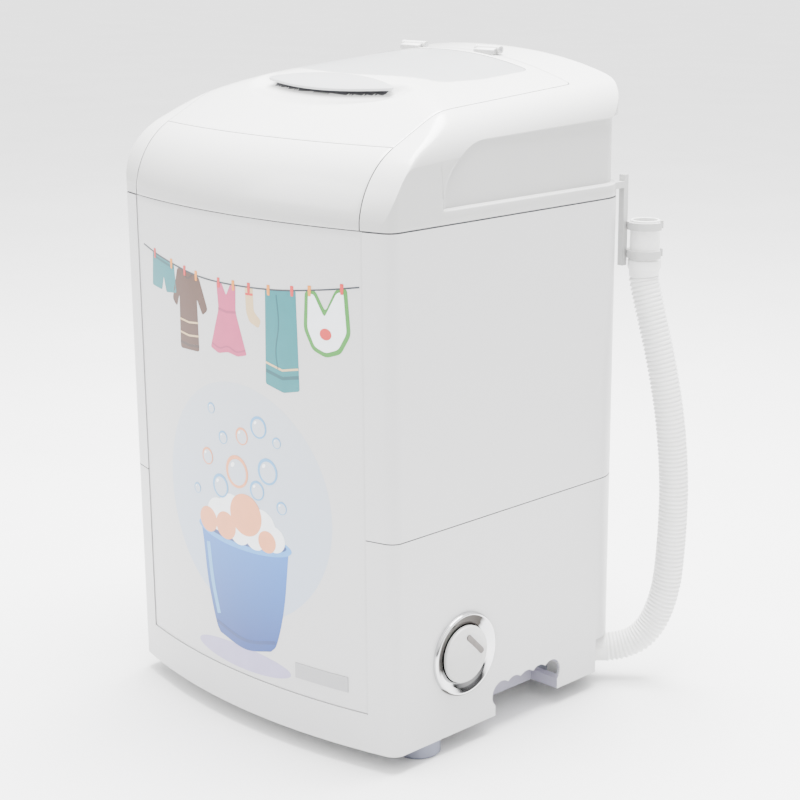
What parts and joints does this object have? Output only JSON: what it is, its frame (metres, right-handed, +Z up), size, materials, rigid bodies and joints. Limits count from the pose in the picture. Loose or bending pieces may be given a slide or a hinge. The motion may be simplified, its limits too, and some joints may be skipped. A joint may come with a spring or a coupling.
{
  "type": "washing machine",
  "caption": "Compact top load washing machine: bowed white cabinet, sloping hinged lid with a window, side timer dial, wash tub with a pulsator, and a hanging drain hose.",
  "frame": {"origin": "on the floor, midway between the outermost faces of the machine without its hose", "axes": "+Z up; -Y out of the bowed front; +X towards the side with the dial and the hose"},
  "size_m": [0.4025, 0.375, 0.6015],
  "materials": {
    "white_gloss": "glossy moulded plastic",
    "frosted_window": "frosted",
    "white_matte": "satin moulded plastic",
    "tub_plastic": "smooth polypropylene",
    "blue_plastic": "smooth polypropylene",
    "grey_foot": "matt",
    "black_rubber": "matt",
    "chrome": "polished plating",
    "steel": "zinc plated",
    "motor_grey": "satin paint",
    "copper": "enamelled wire",
    "bush_bronze": "sintered bronze",
    "black_plastic": "satin",
    "hose_plastic": "corrugated soft plastic",
    "net": "fine nylon net"
  },
  "bodies": {
    "cabinet": {"upper_shell": "white_gloss", "lower_shell": "white_gloss", "front_panel": "white_gloss", "badge_plate": "white_matte", "upper_front_cover": "white_gloss", "top_frame": "white_gloss", "wash_tub": "tub_plastic", "base_pan": "white_matte", "rubber_feet": "grey_foot", "foot_screws": "steel", "rear_access_cover": "white_matte", "rear_cover_screws": "steel", "bearing_housing": "tub_plastic", "upper_bush": "bush_bronze", "lower_bush": "bush_bronze", "shaft_seal": "black_rubber", "motor_bracket": "steel", "bracket_bolts": "steel", "motor_cushions": "black_rubber", "motor_bolts": "steel", "motor_shell": "motor_grey", "stator_core": "steel", "stator_windings": "copper", "run_capacitor": "white_matte", "capacitor_clip": "steel", "timer_body": "black_plastic", "dial_bezel": "chrome", "hose_bracket": "white_matte", "drain_spigot": "white_matte", "inner_drain_hose": "black_rubber", "drain_strainer": "tub_plastic", "wiring_loom": "black_plastic", "cord_gland": "black_plastic", "drive_belt": "black_rubber", "lid_hinge_pins": "steel", "drain_hose": "hose_plastic", "hose_nozzle": "hose_plastic", "hose_collar": "hose_plastic", "hose_clips": "white_matte", "lint_filter": "tub_plastic", "filter_net": "net"},
    "lid": {"lid_panel": "white_gloss", "lid_window": "frosted_window", "window_seal": "black_rubber", "lid_handle": "white_gloss", "lid_bumpers": "black_rubber"},
    "knob": {"timer_knob": "white_gloss", "knob_pointer": "chrome", "timer_shaft": "steel"},
    "pulsator": {"pulsator": "blue_plastic", "pulsator_shaft": "steel", "pulsator_screw": "steel", "drum_pulley": "motor_grey", "pulley_nut": "steel"},
    "rotor": {"motor_rotor": "steel", "motor_shaft": "steel", "motor_pulley": "motor_grey"}
  },
  "joints": [
    {"name": "lid_hinge", "type": "hinge", "parent": "cabinet", "child": "lid", "pos_m": [0, 0.107, 0.598], "axis": [-1, 0, 0], "range_deg": [0, 95]},
    {"name": "timer_dial", "type": "hinge", "parent": "cabinet", "child": "knob", "pos_m": [0.1775, -0.06, 0.09], "axis": [-1, 0, 0], "range_deg": [0, 300]},
    {"name": "pulsator_spin", "type": "hinge", "parent": "cabinet", "child": "pulsator", "pos_m": [0, -0.011, 0.2], "axis": [0, 0, 1], "continuous": true},
    {"name": "motor_spin", "type": "hinge", "parent": "cabinet", "child": "rotor", "pos_m": [-0.09, -0.011, 0.14], "axis": [0, 0, 1], "continuous": true}
  ],
  "couplings": [
    {"joint": "motor_spin", "follows": "pulsator_spin", "ratio": 4}
  ]
}
